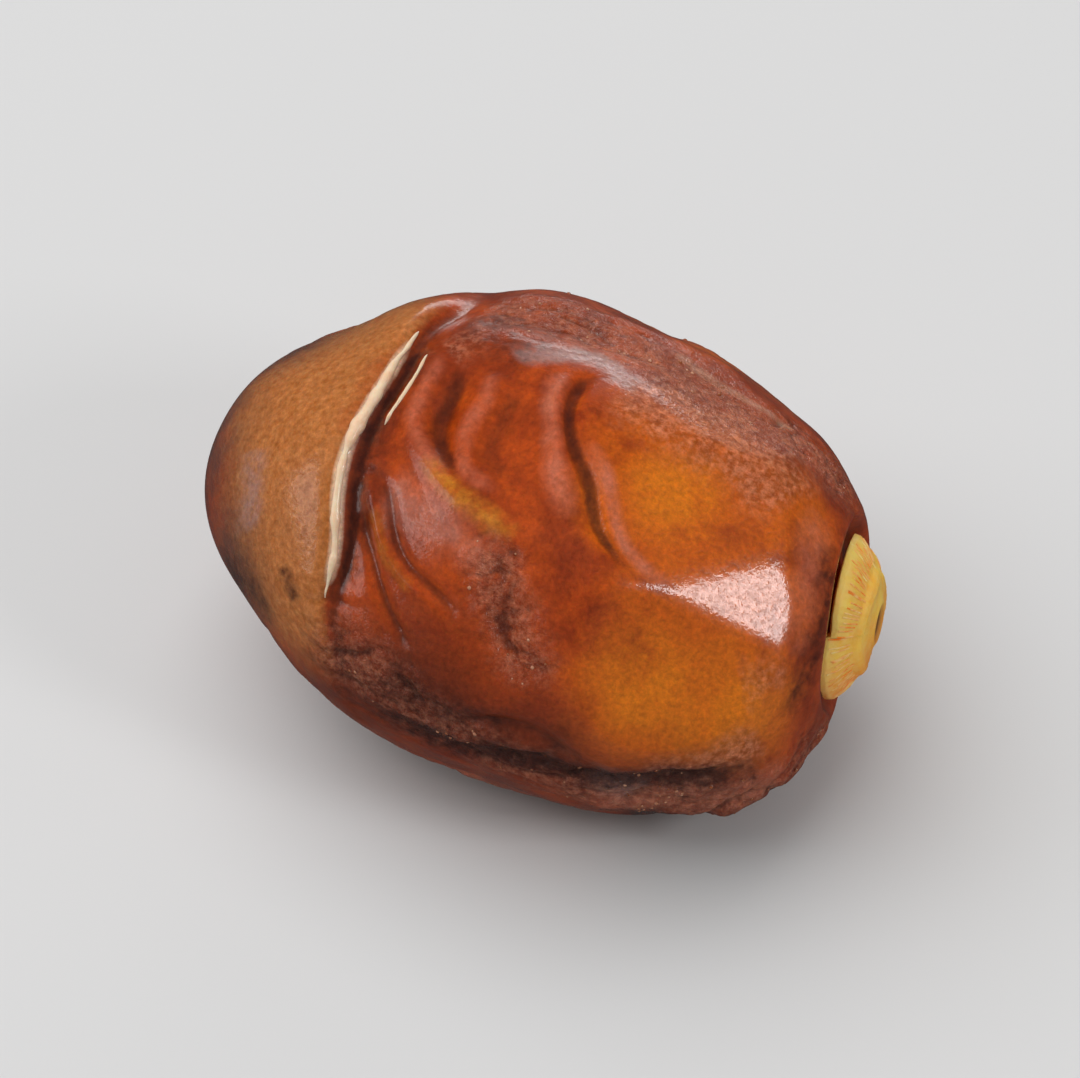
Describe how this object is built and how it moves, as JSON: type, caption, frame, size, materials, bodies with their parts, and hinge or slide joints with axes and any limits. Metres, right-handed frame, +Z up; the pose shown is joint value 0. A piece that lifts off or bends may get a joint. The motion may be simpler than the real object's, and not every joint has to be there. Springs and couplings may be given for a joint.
{
  "type": "asali date",
  "caption": "Whole ripe soft date with wrinkled amber-brown skin and its yellow calyx, lying on a small flat spot.",
  "frame": {"origin": "middle of the whole date's footprint, on the surface that it lies on", "axes": "+X along the fruit from its tip to its calyx, -Y the side that faces the viewer, +Z up"},
  "size_m": [0.0364, 0.027, 0.0226],
  "materials": {
    "date_skin": "glossy, syrupy amber-brown fruit skin with matt puckered patches",
    "calyx": "dry, fibrous, matt yellow plant cap"
  },
  "bodies": {
    "root": {"date_fruit": "date_skin", "calyx_cap": "calyx"}
  },
  "joints": []
}
